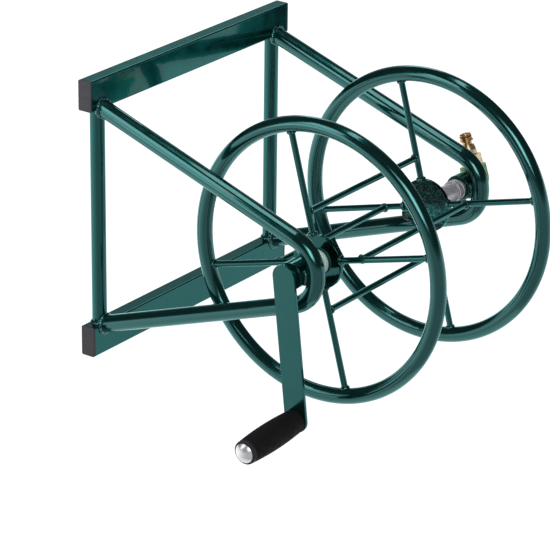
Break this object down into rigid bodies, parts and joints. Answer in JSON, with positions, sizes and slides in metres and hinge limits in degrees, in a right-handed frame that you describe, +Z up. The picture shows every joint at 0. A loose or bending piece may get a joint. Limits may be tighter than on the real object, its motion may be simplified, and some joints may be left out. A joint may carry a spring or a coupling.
{
  "type": "wall mounted hose reel",
  "caption": "Open hose reel on a welded tube wall frame, with a crank handle on one side and a swivelling water inlet with click nipple on the other.",
  "frame": {"origin": "middle of the four keyholes, in the plane of the wall", "axes": "+Z up, +Y into the wall, +X to the right as seen from the front; the axle runs along X"},
  "size_m": [0.552, 0.5017, 0.389],
  "materials": {
    "green_enamel": "glossy teal green enamel over welded steel",
    "dark_plastic": "matt dark grey plastic",
    "nylon": "pale mint nylon, slightly shiny",
    "steel": "plain steel",
    "chrome": "bright chrome",
    "grip_black": "matt black plastic",
    "galvanised": "mottled hot dip galvanised",
    "fibre": "dull red brown fibre",
    "brass": "turned pale brass",
    "rubber": "black rubber",
    "inlet_green": "sage green paint over cast metal"
  },
  "bodies": {
    "frame": {"top_wall_bar": "green_enamel", "bottom_wall_bar": "green_enamel", "cap_top_left": "dark_plastic", "cap_top_right": "dark_plastic", "cap_bottom_left": "dark_plastic", "cap_bottom_right": "dark_plastic", "left_post": "green_enamel", "right_post": "green_enamel", "left_arm": "green_enamel", "right_arm": "green_enamel", "left_bearing_tube": "green_enamel", "right_bearing_tube": "green_enamel", "left_bush": "nylon", "right_bush": "nylon"},
    "reel": {"left_rim": "green_enamel", "right_rim": "green_enamel", "left_hub_disc": "green_enamel", "right_hub_disc": "green_enamel", "left_spoke_top": "green_enamel", "left_spoke_front": "green_enamel", "left_spoke_bottom": "green_enamel", "left_spoke_back": "green_enamel", "right_spoke_top": "green_enamel", "right_spoke_front": "green_enamel", "right_spoke_bottom": "green_enamel", "right_spoke_back": "green_enamel", "rod_top": "green_enamel", "rod_front": "green_enamel", "rod_bottom": "green_enamel", "rod_back": "green_enamel", "crank_shaft": "green_enamel", "hub_washer": "nylon", "crank_collar": "green_enamel", "crank_arm": "green_enamel", "handle_spindle": "steel", "handle_nut": "green_enamel", "handle_cap": "chrome", "hub_stub": "green_enamel", "outlet_tee": "galvanised", "outlet_seal": "fibre", "outlet_nipple": "brass", "outlet_nipple_o_ring": "rubber", "water_axle": "galvanised", "axle_o_ring": "rubber", "axle_snap_ring": "steel"},
    "grip": {"grip": "grip_black", "grip_end_ring": "dark_plastic"},
    "inlet": {"inlet_body": "inlet_green", "inlet_seal": "fibre", "inlet_nipple": "brass", "inlet_nipple_o_ring": "rubber"}
  },
  "joints": [
    {"name": "reel_spin", "type": "hinge", "parent": "frame", "child": "reel", "pos_m": [0, -0.318, 0], "axis": [1, 0, 0], "continuous": true},
    {"name": "grip_spin", "type": "hinge", "parent": "reel", "child": "grip", "pos_m": [-0.20184, -0.33411, -0.18418], "axis": [-0.9994, -0.003, -0.0348], "continuous": true},
    {"name": "inlet_swivel", "type": "hinge", "parent": "frame", "child": "inlet", "pos_m": [0.2171, -0.318, 0], "axis": [1, 0, 0], "continuous": true}
  ]
}
